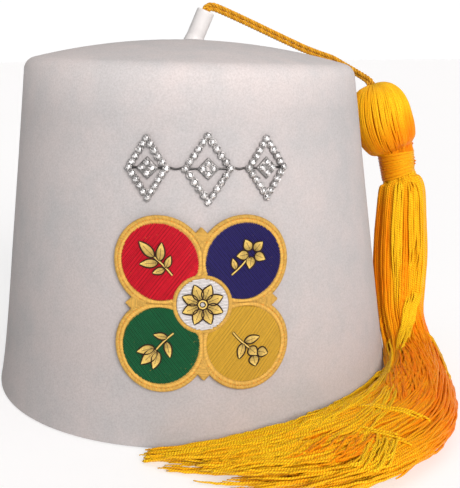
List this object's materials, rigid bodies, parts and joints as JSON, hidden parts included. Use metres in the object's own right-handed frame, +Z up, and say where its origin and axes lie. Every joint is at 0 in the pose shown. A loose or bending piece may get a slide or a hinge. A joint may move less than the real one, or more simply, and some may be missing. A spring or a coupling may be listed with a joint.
{
  "type": "fez hat",
  "caption": "Oval felt fez with a domed top, a leaning stem, a doubled cord and a long gold yarn tassel, with an embroidered lobed emblem and a stone trim on the front.",
  "frame": {"origin": "middle of the footprint of hat and tassel, on the surface that the rim stands on", "axes": "+Z up; -Y the wearer's front, where the emblem is; +X the side where the tassel hangs"},
  "size_m": [0.197, 0.2332, 0.1618],
  "materials": {
    "felt": "matt white wool felt",
    "stem": "smooth white, slight sheen",
    "cord": "twisted rayon cord, gold",
    "yarn": "lustrous two-ply rayon yarn, gold",
    "binding": "close-wound rayon thread, gold",
    "backing": "cream twill",
    "border": "gold satin stitch",
    "thread_red": "red embroidery",
    "thread_navy": "navy embroidery",
    "thread_gold": "gold embroidery",
    "thread_green": "green embroidery",
    "thread_white": "white embroidery",
    "stones": "cut glass stones on a silvered setting strip"
  },
  "bodies": {
    "root": {"felt_crown": "felt", "stem": "stem", "tassel_cord": "cord", "tassel_yarn": "yarn", "tassel_binding": "binding", "patch_backing": "backing", "patch_border": "border", "patch_field_red": "thread_red", "patch_field_navy": "thread_navy", "patch_field_gold": "thread_gold", "patch_field_green": "thread_green", "patch_centre": "thread_white", "stone_trim": "stones"}
  },
  "joints": []
}
